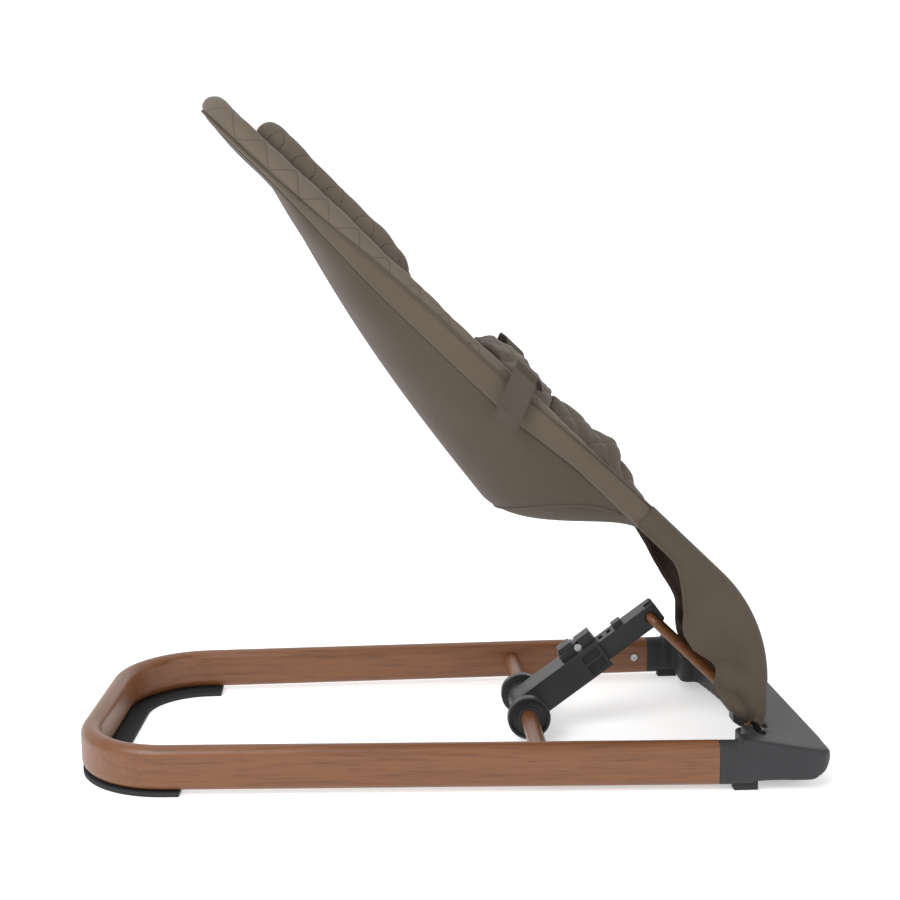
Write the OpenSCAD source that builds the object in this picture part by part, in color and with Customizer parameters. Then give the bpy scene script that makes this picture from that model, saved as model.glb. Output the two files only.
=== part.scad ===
// Bouncer seat: a fabric sling seat on a wood-look steel frame, hinged on a
// low U-shaped base and held at one of three recline steps by a telescopic arm.
// Millimetres. +Z up, +X towards the foot end, origin on the floor under the
// middle of the base.

/* [Base frame] */
// Length of the base, rear bar to front edge
base_l = 780; // [740:5:840]
// Height of the flat-oval rail section
rail_h = 46; // [42:1:48]
// Thickness of the flat-oval rail section
rail_t = 21; // [20:0.5:24]
// Wall of the rail tube
rail_wall = 2; // [1.5:0.25:2.5]
// Rail centre planes, distance apart at the front joint
track_front = 388; // [380:2:420]
// Rail centre planes, distance apart where the rear bends start
track_rear = 348; // [330:2:370]
// Centreline radius of the rear bends
bend_r = 95; // [80:5:110]
// Thickness of the rear foot strip under the rail
foot_t = 5; // [4:0.5:8]
// Width of the foot strip inboard of the rail
foot_in = 20; // [12:1:26]
// Radius of the lower crossbar
crossbar_r = 9.5; // [8:0.5:10]

/* [Front housing] */
// Depth of the housing from the rail joint to the front edge
housing_l = 118; // [110:2:130]
// Height of the housing above the floor at its rear edge
housing_h = 54; // [52:1:58]
// Radius of the two front corners seen from above
corner_r = 24; // [15:1:35]
// Radius of the hinge pins
pin_r = 4; // [3.5:0.25:5]

/* [Telescopic arm] */
// Slope of the arm with the seat in its highest step
arm_angle = 36.2; // [34:0.2:38]
// Crossbar axis to support bar axis with the seat in its highest step
arm_l = 176; // [172:1:182]
// Outer arm height
outer_h = 34; // [32:1:36]
// Outer arm width
outer_w = 38; // [36:1:42]
// Inner arm height
inner_h = 24; // [22:1:25]
// Inner arm width
inner_w = 26; // [24:1:28]
// Travel of the arm between two recline steps
step_l = 11.9; // [11:0.1:13]
// Radius of the flange discs on the crossbar
flange_r = 24; // [20:1:26]

/* [Seat frame] */
// Slope of the seat in its highest step
seat_angle = 43.9; // [42:0.1:45]
// Knee to ear of the seat frame, along the seat
seat_l = 700; // [640:5:740]
// Seat tube centre lines, distance apart
seat_w = 274; // [264:2:284]
// Radius of the seat tube
tube_r = 8; // [7:0.5:9]
// Straight length of each leg above the hinge
leg_l = 45; // [35:1:55]
// Centreline radius of the knee bend
knee_r = 147; // [130:1:160]
// Centreline radius of the two ears at the head end
ear_r = 50; // [40:1:60]
// Centreline radius of the hollow between the ears
dip_r = 120; // [100:5:160]
// Radius of the support bar
bar_r = 5.4; // [4.8:0.1:7]

/* [Seat fabric] */
// Outer radius of the padded casing round the seat tube
casing_r = 12.5; // [11:0.5:14]
// Depth of the sling below the tube centre line
sag_depth = 106; // [80:2:120]
// Distance of the deepest point from the knee
sag_place = 217; // [190:5:250]
// Thickness of the sling fabric
sling_t = 2.5; // [2:0.25:4]
// Thickness of the quilted liner
liner_t = 9; // [5:0.5:12]
// Depth of the apron flaps behind the legs
flap_depth = 58; // [30:2:62]
// Width of the waist straps
strap_w = 30; // [24:1:36]

/* [Hidden] */
$fn = 48;
wood = "#8f5f42";
plastic = "#47484a";
black = "#2d2e30";
steel = "#c9cacc";
taupe = "#675c4f";
taupe_light = "#74695c";
slack = 0.3;            // gap between neighbours that don't touch
fit = 0.06;             // running clearance, measured on the radius
bead = 0.05;            // a bead at each joint of a bent tube stands out this much
bridge = 1.6;           // length of a bead on the base rail
short = 0.1;            // gap that a bead bridges
short_turn = 0.15;      // the same for a bend, in degrees

// --- base layout
joint_x = base_l / 2 - housing_l;
rear_x = -base_l / 2 + rail_t / 2;
rail_z = foot_t + rail_h / 2;
taper_run = 522;        // between the two places where the track is given
taper = atan((track_front - track_rear) / 2 / taper_run);
function rail_y(x) = track_front / 2 - (joint_x - x) * tan(taper);
corner_y = rail_y(rear_x);
bar_half = corner_y - bend_r * tan((90 - taper) / 2);
bend_end = [rear_x + bend_r * (1 - sin(taper)), bar_half + bend_r * cos(taper)];
strip_end_x = joint_x - 545;
crossbar = [95.5, 28];  // x and z of the arm's lower pivot
crossbar_half = rail_y(crossbar[0]) - rail_wall;
spigot_l = 45;
screw_x = joint_x - 17;
screw_r = 2;
front_x = base_l / 2;

// --- hinge of the seat, above the rear edge of the housing
hinge = [base_l / 2 - 68, 50];
leg_y = seat_w / 2;
recess_floor = hinge[1] - tube_r - 1.2;
recess_front = hinge[0] + tube_r + 3.5;
recess_half = leg_y + 17;
pin_in = 113;
pin_out = recess_half + 22;
bow_r = 600;            // rear wall of the housing, seen from above
bow_x = hinge[0] + 15;
housing_z = 10;         // underside of the housing
pod_r = 9;              // rounding of the pods' corners
wall = 3;

// --- arm layout, along and across the arm from the crossbar axis
bar_gap = 1;            // free play of the support bar in the inner arm
collar_a = 110.3;       // outer end of the outer arm
barrel_half = 38.5;
flange_t = 10;
slots = [for (i = [0:2]) 104.1 + i * step_l];
slot_l = 5.4;
stop_a = collar_a + 2 * step_l + slack;
latch = [89, 21.4];
latch_half = 11;
lever_half = 9.4;
elbow_y = inner_w / 2 + bar_r + 3.2;
elbow_r = 10;
arm_far = [crossbar[0] + arm_l * cos(arm_angle), crossbar[1] + arm_l * sin(arm_angle)];
bar_run = arm_far - hinge;
bar_len = norm(bar_run);
bar_lean = atan2(bar_run[1], bar_run[0]);
bar_bend = 16;          // bend where a leg of the support bar meets the hinge line

// --- seat layout
knee_turn = 90 - seat_angle;
knee = [hinge[0] - knee_r * (1 - cos(knee_turn)), hinge[1] + leg_l + knee_r * sin(knee_turn)];
ear_s = seat_l - ear_r;
ear_v = leg_y - ear_r;
dip_angle = asin(ear_v / (ear_r + dip_r));
dip_s = ear_s + (ear_r + dip_r) * cos(dip_angle) - dip_r;
strap_s = 282;          // middle of the waist straps, from the knee

// A point at distance s from the knee, v across and h above the tube plane
function seat_pt(s, v, h) = [knee[0] - s * cos(seat_angle) + h * sin(seat_angle),
                             v, knee[1] + s * sin(seat_angle) + h * cos(seat_angle)];

// Depth of the sling along its middle: a slow rise to the head, a quick one to the knee
head_run = 483;
knee_run = 137;
function rise(t) = (t + sin(90 * t)) / 2;
function sag(s) = sag_depth * (s > sag_place
    ? rise(max(0, 1 - (s - sag_place) / head_run))
    : cos(90 * min(1, (sag_place - s) / knee_run)));

// The head edge, c from -1 on one side to 1 on the other, e inside the tube line
ear_share = 0.5;        // share of the edge, each side, that goes round an ear
function ear_angle(c) = -dip_angle + (90 + dip_angle) * (abs(c) - ear_share) / (1 - ear_share);
function head_edge(c, e) = abs(c) >= ear_share
    ? [ear_s + (ear_r - e) * cos(ear_angle(c)),
       sign(c) * (ear_v + (ear_r - e) * sin(ear_angle(c)))]
    : [dip_s + dip_r - (dip_r + e) * cos(dip_angle * c / ear_share),
       (dip_r + e) * sin(dip_angle * c / ear_share)];

// A cloth point: c across, r from the front edge at s0 to the head edge
function cloth_sv(c, r, s0, e) =
    [s0, c * (leg_y - e)] * (1 - r) + head_edge(c, e) * r;
function cloth_h(c, r, s) = -sag(s) * (1 - pow(abs(c), 2.4)) * (1 - pow(r, 8));
function cloth_pt(c, r, s0, e, lift) =
    let (p = cloth_sv(c, r, s0, e)) seat_pt(p[0], p[1], cloth_h(c, r, p[0]) + lift);

// --- shared shapes

// Flat oval, grown by g
module oval(g = 0) {
    flat = rail_h - rail_t;
    square([rail_t + 2 * g, flat], center = true);
    for (y = [-flat / 2, flat / 2]) translate([0, y]) circle(d = rail_t + 2 * g);
}

// Sweeps a 2-D section (x outward, y up) along the far half of the base, to x_end.
// The first child is the section. The second, a little larger, bridges the joints.
module half_sweep(x_end) {
    translate([rear_x, -0.5, 0])
        rotate([90, 0, 180]) linear_extrude(bar_half + 0.5 - short) children(0);
    translate([rear_x, bar_half - bridge / 2, 0])
        rotate([90, 0, 180]) linear_extrude(bridge) children(1);
    translate([rear_x + bend_r, bar_half, 0]) rotate([0, 0, 90 + taper + short_turn])
        rotate_extrude(angle = 90 - taper - 2 * short_turn, $fn = 96)
            translate([bend_r, 0]) children(0);
    translate([bend_end[0], bend_end[1], 0]) rotate([0, 0, taper]) rotate([90, 0, 90]) {
        translate([0, 0, -bridge / 2]) linear_extrude(bridge) children(1);
        translate([0, 0, short])
            linear_extrude((x_end - bend_end[0]) / cos(taper) - short) children(0);
    }
}

module base_sweep(x_end) {
    half_sweep(x_end) { children(0); children(1); }
    mirror([0, 1, 0]) half_sweep(x_end) { children(0); children(1); }
}

module both_sides() {
    children();
    mirror([0, 1, 0]) children();
}

// Puts a child into the arm's frame: x along the arm, z across it
module on_arm() {
    translate([crossbar[0], 0, crossbar[1]]) rotate([0, -arm_angle, 0]) children();
}

// Puts a child into the seat's frame at the knee: x up the seat, y across, z into its back
module on_seat() {
    translate([knee[0], 0, knee[1]]) rotate([0, 180 + seat_angle, 0]) children();
}

// A rod along Y, centred
module rod_y(r, half) {
    rotate([90, 0, 0]) cylinder(r = r, h = 2 * half, center = true);
}

// A box given by its x, y and z limits
module block(x, y, z) {
    translate([x[0], y[0], z[0]]) cube([x[1] - x[0], y[1] - y[0], z[1] - z[0]]);
}

// The seat tube's path with radius r, without the part below the knee when legs is false.
// Each stretch stops a little short of the next, and a bead bridges the two.
module seat_path(r, legs = true) {
    both_sides() {
        translate([0, leg_y, 0]) {
            if (legs) {
                translate([hinge[0], 0, hinge[1]]) {
                    sphere(r);
                    cylinder(r = r, h = leg_l - short);
                }
                translate([hinge[0], 0, hinge[1] + leg_l]) sphere(r + bead);
                translate([hinge[0] - knee_r, 0, hinge[1] + leg_l]) rotate([90, 0, 0])
                    rotate_extrude(angle = knee_turn - short_turn, $fn = 96)
                        translate([knee_r, 0]) circle(r);
            }
            translate([knee[0], 0, knee[1]]) sphere(r + bead);
            translate([knee[0], 0, knee[1]]) rotate([0, -knee_turn, 0])
                translate([0, 0, short]) cylinder(r = r, h = ear_s - 2 * short);
        }
        on_seat() {
            translate([ear_s, leg_y, 0]) sphere(r + bead);
            translate([ear_s, ear_v, 0]) {
                rotate([0, 0, -dip_angle + short_turn])
                    rotate_extrude(angle = 90 + dip_angle - 2 * short_turn, $fn = 96)
                        translate([ear_r, 0]) circle(r);
                rotate([0, 0, -dip_angle]) translate([ear_r, 0, 0]) sphere(r + bead);
            }
        }
    }
    on_seat() translate([dip_s + dip_r, 0, 0])
        rotate([0, 0, 180 - dip_angle + short_turn])
            rotate_extrude(angle = 2 * (dip_angle - short_turn), $fn = 96)
                translate([dip_r, 0]) circle(r);
}

// A closed slab between two grids of points, both given as rows of equal length
module slab(top, bottom) {
    m = len(top);
    n = len(top[0]);
    at = m * n;
    points = concat([for (row = top) for (p = row) p], [for (row = bottom) for (p = row) p]);
    function cell(a, b, c, d) = [[a, b, c], [a, c, d]];
    faces = concat(
        [for (i = [0:m - 2]) for (j = [0:n - 2]) for (t = cell(i * n + j, i * n + j + 1,
            (i + 1) * n + j + 1, (i + 1) * n + j)) t],
        [for (i = [0:m - 2]) for (j = [0:n - 2]) for (t = cell(at + i * n + j,
            at + (i + 1) * n + j, at + (i + 1) * n + j + 1, at + i * n + j + 1)) t],
        [for (i = [0:m - 2]) for (t = cell(i * n, (i + 1) * n, at + (i + 1) * n, at + i * n)) t],
        [for (i = [0:m - 2]) for (t = cell((i + 1) * n + n - 1, i * n + n - 1,
            at + i * n + n - 1, at + (i + 1) * n + n - 1)) t],
        [for (j = [0:n - 2]) for (t = cell(j + 1, j, at + j, at + j + 1)) t],
        [for (j = [0:n - 2]) for (t = cell((m - 1) * n + j, (m - 1) * n + j + 1,
            at + (m - 1) * n + j + 1, at + (m - 1) * n + j)) t]);
    polyhedron(points, faces);
}

// --- base

// Puts a child on the inner face of each rail end, where its screw goes in along y
module at_screw() {
    both_sides() translate([screw_x, rail_y(screw_x) - rail_t / 2, rail_z])
        rotate([0, 0, taper]) children();
}

module base_rail() {
    color(wood) difference() {
        base_sweep(joint_x) {
            translate([0, rail_z]) oval();
            translate([0, rail_z]) oval(bead);
        }
        base_sweep(joint_x + 1) {
            translate([0, rail_z]) oval(-rail_wall);
            translate([0, rail_z]) oval(bead - rail_wall);
        }
        both_sides() {
            translate([crossbar[0], rail_y(crossbar[0]) - rail_t / 2, crossbar[1]])
                rod_y(crossbar_r, 5);
        }
        at_screw() rod_y(screw_r + 0.6, 5);
    }
}

module strip_section(g = 0) {
    strip_w = rail_t + foot_in - 2;
    translate([rail_t / 2 - 1 - strip_w - g, -g])
        square([strip_w + 2 * g, foot_t - slack + 2 * g]);
}

module rear_foot_strip() {
    color(black) translate([0, 0, bead]) base_sweep(strip_end_x) {
        strip_section();
        strip_section(bead);
    }
}

// Housing seen from above
module housing_plan() {
    edge_y = rail_y(front_x - corner_r) + rail_t / 2;
    difference() {
        union() {
            polygon([[joint_x + 22, -rail_y(joint_x + 22) - rail_t / 2],
                     [front_x - corner_r, -edge_y], [front_x - corner_r, edge_y],
                     [joint_x + 22, rail_y(joint_x + 22) + rail_t / 2]]);
            translate([joint_x + 22, -edge_y + corner_r])
                square([housing_l - 22, 2 * (edge_y - corner_r)]);
            for (y = [-1, 1]) translate([front_x - corner_r, y * (edge_y - corner_r)])
                circle(corner_r);
        }
        intersection() {
            translate([bow_x - bow_r, 0]) circle(bow_r, $fn = 180);
            translate([joint_x, -rail_y(joint_x) + rail_t / 2])
                square([housing_l, track_front - rail_t]);
        }
    }
}

// Pods that carry the hinge pins, seen from above
module hinge_pods_plan() {
    for (y = [-1, 1]) translate([hinge[0] - 17, y > 0 ? recess_half - 28 : -pin_out - 4])
        offset(pod_r) offset(-pod_r) square([40, pin_out + 32 - recess_half]);
}

// Housing seen from the side: flat at the hinge, falling to a thin front edge
module housing_side(inset = 0) {
    polygon([[joint_x, housing_z], [front_x - 23, housing_z], [front_x - 8, 18],
             [front_x, 30], [front_x - 3 - inset, 40 - inset],
             [hinge[0] - 19, housing_h - inset], [joint_x, housing_h - inset]]);
}

module side_extrude(half) {
    rotate([90, 0, 0]) translate([0, 0, -half]) linear_extrude(2 * half) children();
}

module front_housing() {
    color(plastic) difference() {
        union() {
            intersection() {
                linear_extrude(housing_h) union() {
                    housing_plan();
                    hinge_pods_plan();
                }
                side_extrude(track_front) housing_side();
            }
            both_sides() translate([joint_x + 0.1, rail_y(joint_x), rail_z]) rotate([0, 0, taper])
                rotate([90, 0, 90]) {
                    linear_extrude(34) oval();
                    translate([0, 0, -spigot_l]) linear_extrude(spigot_l) oval(-rail_wall - slack);
                }
        }
        // recess over the hinge line, open to the rear
        block([joint_x + 20, recess_front], [-recess_half, recess_half], [recess_floor, 80]);
        // hollow underside, closed by the cover
        block([recess_front + wall, front_x - 18], [-rail_y(joint_x) + 10, rail_y(joint_x) - 10],
              [0, recess_floor - 8]);
        both_sides() {
            translate([hinge[0], (pin_in + pin_out) / 2, hinge[1]])
                rod_y(pin_r, (pin_out - pin_in) / 2);
            foot_pad(0.1);
        }
        at_screw() rod_y(screw_r, 14);
    }
}

// Room that the cover leaves round itself inside the housing
cover_gap = 0.2;
module housing_cover() {
    x = [recess_front + wall + cover_gap, front_x - 18 - cover_gap];
    half = rail_y(joint_x) - 10 - cover_gap;
    color(black) difference() {
        union() {
            block(x, [-half, half], [housing_z, housing_z + wall]);
            for (y = [-120, -40, 40, 120]) translate([(x[0] + x[1]) / 2, y, housing_z])
                cylinder(r = 5, h = recess_floor - 8 - housing_z - cover_gap);
        }
        for (y = [-120, -40, 40, 120]) translate([(x[0] + x[1]) / 2, y, housing_z - 1]) {
            cylinder(r = 2, h = 20);
            cylinder(r = 4.2, h = 3);
        }
    }
}

module cover_screws() {
    x = (recess_front + wall + front_x - 18) / 2;
    color(steel) for (y = [-120, -40, 40, 120]) translate([x, y, housing_z + 0.2]) {
        cylinder(r = 4, h = 1.7);
        cylinder(r = 1.9, h = 15);
    }
}

foot_x = joint_x + 28;
module foot_pad(g = 0) {
    translate([foot_x, rail_y(foot_x) - 1, -1 + g * 10]) {
        translate([-12 - g, -6 - g, 0]) cube([24 + 2 * g, 12 + 2 * g, foot_t + 5]);
    }
}

module front_feet() {
    color(black) both_sides() intersection() {
        foot_pad();
        translate([foot_x - 40, 0, 0]) cube([80, 300, 40]);
    }
}

module rail_screws() {
    color(steel) at_screw() rotate([-90, 0, 0]) {
        difference() {
            translate([0, 0, -2.3]) cylinder(r = 4.4, h = 2.2);
            translate([0, 0, -3]) cylinder(r = 2.1, h = 1.8, $fn = 6);
        }
        translate([0, 0, -0.2]) cylinder(r = screw_r - 0.05, h = 10);
    }
}

module lower_crossbar() {
    color(wood) translate([crossbar[0], 0, crossbar[1]])
        rod_y(crossbar_r - 0.02, crossbar_half);
}

module hinge_pins() {
    color(steel) both_sides()
        translate([hinge[0], (pin_in + pin_out) / 2, hinge[1]])
            rod_y(pin_r - 0.01, (pin_out - pin_in) / 2 - 0.2);
}

// --- telescopic arm

module outer_arm() {
    side_y = outer_w / 2;
    color(black) on_arm() difference() {
        union() {
            rod_y(outer_h / 2, barrel_half);
            block([0, collar_a], [-side_y, side_y], [-outer_h / 2, outer_h / 2]);
        }
        rod_y(crossbar_r + fit, barrel_half + 1);
        // sleeve for the inner arm
        block([14, collar_a + 1], [-inner_w / 2 - slack, inner_w / 2 + slack],
              [-inner_h / 2 - slack, inner_h / 2 + slack]);
        // two grip pockets in each side of the collar
        both_sides() {
            block([85, 106], [side_y - 4.6, side_y + 1], [0.5, outer_h / 2 - 5.5]);
            block([85, 106], [side_y - 4.6, side_y + 1], [-outer_h / 2 + 3, -1.5]);
        }
        // well and window under the latch
        block([66, 97], [-9.4, 9.4], [outer_h / 2 - 3, outer_h / 2 + 1]);
        block([96, 109], [-6, 6], [inner_h / 2, outer_h / 2 + 1]);
        // shallow mould line over the barrel
        block([-20, 20], [-14.2, -13.2], [outer_h / 2 - 0.6, outer_h / 2 + 1]);
    }
}

// Dished disc on one end of the barrel, running on the crossbar
module arm_flange() {
    color(black) on_arm() translate([0, barrel_half + 0.1, 0]) rotate([-90, 0, 0]) difference() {
        cylinder(r = flange_r, h = flange_t, $fn = 72);
        translate([0, 0, -1]) cylinder(r = crossbar_r + fit, h = flange_t + 2);
        translate([0, 0, 4]) difference() {
            cylinder(r = flange_r - 2.5, h = flange_t);
            translate([0, 0, -1]) cylinder(r = crossbar_r + 3, h = flange_t + 2);
        }
    }
}

module arm_flange_left() { mirror([0, 1, 0]) arm_flange(); }
module arm_flange_right() { arm_flange(); }

module latch_housing() {
    top = outer_h / 2 + 0.1;
    color(black) on_arm() difference() {
        union() {
            block([65, collar_a], [-latch_half, latch_half], [top, 25]);
            block([90, collar_a], [-9, 9], [top, 28.4]);
        }
        block([66.4, 93], [-lever_half - slack, lever_half + slack], [0, 26.8]);
        block([91, collar_a - 1.5], [-6.6, 6.6], [0, 26.8]);
        translate([latch[0], 0, latch[1]]) rod_y(2.5, latch_half + 2);
    }
}

// Rocker: its tail is the release button, its nose stands over the slots
module latch_lever() {
    color(black) on_arm() difference() {
        union() {
            side_extrude(lever_half)
                polygon([[67.6, 22.5], [67.6, 29.8], [69, 31.3], [84.5, 31.3], [85.5, 26], [81, 22.5]]);
            side_extrude(6)
                polygon([[78, 22.5], [80, 27], [88, 25.2], [100, 22.2], [105, 22.2],
                         [105, 12.4], [101.2, 12.4], [101.2, 18], [95, 18.5], [86, 17]]);
            translate([latch[0], 0, latch[1]]) rod_y(4.7, 6);
        }
        translate([latch[0], 0, latch[1]]) rod_y(2.5 + fit, 12);
    }
}

// Closed coils of the return spring on the latch screw
module latch_spring() {
    color(steel) on_arm() translate([latch[0], 6.9, latch[1]]) rotate([-90, 0, 0])
        for (i = [0:1]) translate([0, 0, i * 1.3])
            rotate_extrude() translate([3.1, 0]) circle(0.45, $fn = 16);
}

module latch_screw() {
    color(steel) on_arm() translate([latch[0], 0, latch[1]]) {
        rod_y(2.49, latch_half + 0.1);
        both_sides() translate([0, latch_half + 0.1, 0]) rotate([-90, 0, 0]) difference() {
            cylinder(r = 4.2, h = 2);
            translate([0, 0, 0.8]) cylinder(r = 2.2, h = 2, $fn = 6);
        }
    }
}

module inner_arm() {
    side_y = inner_w / 2;
    top = inner_h / 2;
    tail = 41;
    end = arm_l + 8;
    color(black) on_arm() difference() {
        union() {
            block([tail, end], [-side_y, side_y], [-top, top]);
            block([stop_a, stop_a + 12.5], [-6, 6], [top - 1, top + 5.5]);
        }
        block([tail - 1, arm_l - 14], [-side_y + wall, side_y - wall], [-top + wall, top - wall]);
        for (a = slots) block([a - slot_l / 2, a + slot_l / 2], [-5, 5], [0, top + 1]);
        translate([arm_l, 0, 0]) rod_y(bar_r + bar_gap, side_y + 1);
    }
}

module arm_end_cap() {
    a = arm_l + 8.05;
    side_y = inner_w / 2;
    top = inner_h / 2;
    color(black) on_arm() {
        difference() {
            block([a, a + 4.5], [-side_y, side_y], [-top, top]);
            translate([a + 4.5, 0, top]) rotate([0, 45, 0])
                cube([3, inner_w + 2, 3], center = true);
            translate([a + 4.5, 0, -top]) rotate([0, 45, 0])
                cube([3, inner_w + 2, 3], center = true);
        }
        block([a - 7, a + 2], [-5, 5], [top + 0.05, top + 1.8]);
        block([a, a + 2], [-5, 5], [top - 2, top + 1.8]);
    }
}

// --- support bar: one bent rod, from hinge to arm and back

module support_bar() {
    color(wood) difference() {
        translate([hinge[0], 0, hinge[1]]) rotate([0, -bar_lean, 0]) {
            // local x runs from the hinge line to the arm
            both_sides() {
                translate([0, (elbow_y + bar_bend + pin_in + 13) / 2, 0])
                    rod_y(bar_r, (pin_in + 13 - elbow_y - bar_bend) / 2);
                translate([bar_bend, elbow_y + bar_bend, 0]) rotate([0, 0, 180])
                    rotate_extrude(angle = 90) translate([bar_bend, 0]) circle(bar_r);
                translate([bar_bend, elbow_y, 0]) rotate([0, 90, 0])
                    cylinder(r = bar_r, h = bar_len - bar_bend - elbow_r);
                translate([bar_len - elbow_r, elbow_y - elbow_r, 0])
                    rotate_extrude(angle = 90) translate([elbow_r, 0]) circle(bar_r);
            }
            translate([bar_len, 0, 0]) rod_y(bar_r, elbow_y - elbow_r);
        }
        both_sides() translate([hinge[0], pin_in + 8, hinge[1]]) rod_y(pin_r + fit, 20);
    }
}

// Black end piece of the support bar, with the lug behind the seat leg
module hinge_knuckle() {
    inner_y = pin_in + 13.1;
    outer_y = leg_y - tube_r - slack;
    lug_x = hinge[0] - tube_r - 1.6;
    color("#1f1f21") difference() {
        union() {
            translate([hinge[0], (inner_y + outer_y) / 2, hinge[1]])
                rod_y(bar_r, (outer_y - inner_y) / 2);
            block([lug_x - 12, hinge[0]], [inner_y, outer_y],
                  [hinge[1] - 3, hinge[1] + bar_r]);
            block([lug_x - 12, lug_x], [inner_y, leg_y + 6], [hinge[1] - 3, hinge[1] + 11]);
        }
        translate([hinge[0], leg_y, hinge[1]]) rod_y(pin_r + fit, 30);
        translate([lug_x - 12, 0, hinge[1] - 3]) rotate([0, 35, 0])
            cube([12, 400, 8], center = true);
    }
}

module hinge_knuckle_left() { mirror([0, 1, 0]) hinge_knuckle(); }
module hinge_knuckle_right() { hinge_knuckle(); }

// --- seat

module seat_tube() {
    color(wood) difference() {
        seat_path(tube_r);
        difference() {
            seat_path(tube_r - 1.5);
            translate([hinge[0], 0, hinge[1]]) cube([40, seat_w + 60, 26], center = true);
        }
        both_sides() translate([hinge[0], leg_y, hinge[1]]) rod_y(pin_r + fit, 12);
    }
}

module rim_casing() {
    color(taupe_light) difference() {
        seat_path(casing_r, legs = false);
        seat_path(tube_r + 0.2);
    }
}

// The layers share one lattice, so each lies flat on the one below. cols and rows are the
// first and last line of the lattice that a layer covers. crest is the height above the
// tube plane that its two padded sides rise to.
cloth_cols = 24;
cloth_rows = 36;
cloth_s = 20;           // front edge of the lattice, from the knee
module cloth_slab(cols, rows, lift, t, crest = undef) {
    e = casing_r + slack;
    function height(i, j) =
        let (c = 2 * i / cloth_cols - 1, r = j / cloth_rows)
        cloth_h(c, r, cloth_sv(c, r, cloth_s, e)[0]);
    function side(i) = pow(abs(2 * (i - cols[0]) / (cols[1] - cols[0]) - 1), 4);
    function puff(i, j) =
        is_undef(crest) ? 0 : side(i) * max(0, crest - lift - t - height(i, j));
    function at(i, j, up) = cloth_pt(2 * i / cloth_cols - 1, j / cloth_rows, cloth_s, e, up);
    slab([for (j = [rows[0]:rows[1]])
             [for (i = [cols[0]:cols[1]]) at(i, j, lift + t + puff(i, j))]],
         [for (j = [rows[0]:rows[1]]) [for (i = [cols[0]:cols[1]]) at(i, j, lift)]]);
}

layer_gap = 0.4;        // between two layers of the seat, where they lie on each other
liner_lift = sling_t + layer_gap;
inlay_lift = liner_lift + liner_t + layer_gap;
inlay_t = 9;
inlay_crest = 11;
head_t = 7;
head_crest = 31;        // the head support's two wings stand this far above the tube plane

module seat_sling() {
    color(taupe) cloth_slab([0, 24], [0, 36], 0, sling_t);
}

module quilted_liner() {
    color(taupe_light) cloth_slab([0, 24], [3, 36], liner_lift, liner_t);
}

module newborn_inlay() {
    color(taupe_light) cloth_slab([3, 21], [5, 22], inlay_lift, inlay_t, inlay_crest);
}

// Pad with two wings that hold the head between them
module head_support() {
    color(taupe_light) cloth_slab([3, 21], [23, 34], inlay_lift, head_t, head_crest);
}

// --- apron: a sheet over the front of the legs, with a loose flap down each side

// It starts this far above the knee: just below the round end of the casing
apron_top = -(casing_r + bead + slack);
apron_z = hinge[1] + 9; // lower edge
arc_l = knee_r * knee_turn * PI / 180;
apron_l = apron_top + arc_l + hinge[1] + leg_l - apron_z;
apron_front = casing_r;
apron_half = leg_y + casing_r;
apron_t = 2.5;

// Centre of the leg at distance q down from the top of the apron, and its outward direction
function apron_turn(q) = max(0, min(knee_turn, knee_turn - (q - apron_top) / knee_r * 180 / PI));
function apron_mid(q) = q < apron_top
    ? knee + (apron_top - q) * [-cos(seat_angle), sin(seat_angle)]
    : q < apron_top + arc_l
        ? [hinge[0] - knee_r, hinge[1] + leg_l] + knee_r * [cos(apron_turn(q)), sin(apron_turn(q))]
        : [hinge[0], hinge[1] + leg_l - (q - apron_top - arc_l)];
function apron_flap(q) = 8 + (flap_depth - 8) * pow(sin(180 * pow(q / apron_l, 0.85)), 0.8);

// A point of the apron: v across, f forward of the leg's centre line
function apron_pt(q, v, f) =
    let (m = apron_mid(q), t = apron_turn(q)) [m[0] + f * cos(t), v, m[1] + f * sin(t)];
function apron_line(q, g) = [
    for (p = [[-1, 0], [-1, 0.35], [-1, 0.7], [-1, 1]])
        apron_pt(q, p[0] * (apron_half - g), (p[1] - 1) * apron_flap(q) + p[1] * (apron_front - 5)),
    for (v = [-1:0.25:1]) apron_pt(q, v * (apron_half - 5 - g / 2), apron_front - g),
    for (p = [[1, 1], [1, 0.7], [1, 0.35], [1, 0]])
        apron_pt(q, p[0] * (apron_half - g), (p[1] - 1) * apron_flap(q) + p[1] * (apron_front - 5))];

module front_apron() {
    steps = 22;
    outer = [for (i = [0:steps]) apron_line(apron_l * i / steps, 0)];
    inner = [for (i = [0:steps]) apron_line(apron_l * i / steps, apron_t)];
    color(taupe) slab(inner, outer);
}

// --- harness

// A padded piece arching over the hollow: c across, q along
function arch(q, rise) = rise * sin(180 * q);
module pad(s0, s1, half0, half1, h0, h1, rise, t, fall = 0) {
    n = 12;
    function edge(q, c, lift) =
        let (half = half0 + (half1 - half0) * q)
        seat_pt(s0 + (s1 - s0) * q, c * half,
                h0 + (h1 - h0) * q + arch(q, rise) - fall * c * c + lift * (1 - 0.7 * pow(c, 6)));
    top = [for (i = [0:n]) [for (j = [-6:6]) edge(i / n, j / 6, t / 2)]];
    bottom = [for (i = [0:n]) [for (j = [-6:6]) edge(i / n, j / 6, -t / 2)]];
    slab(top, bottom);
}

module crotch_pad() {
    color(taupe_light) pad(86, 236, 34, 48, 20, 25, 6, 13, 9);
}

module waist_band() {
    color(taupe) pad(strap_s - 40, strap_s + 52, 92, 60, 24, 8, 6, 9, 12);
}

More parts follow.
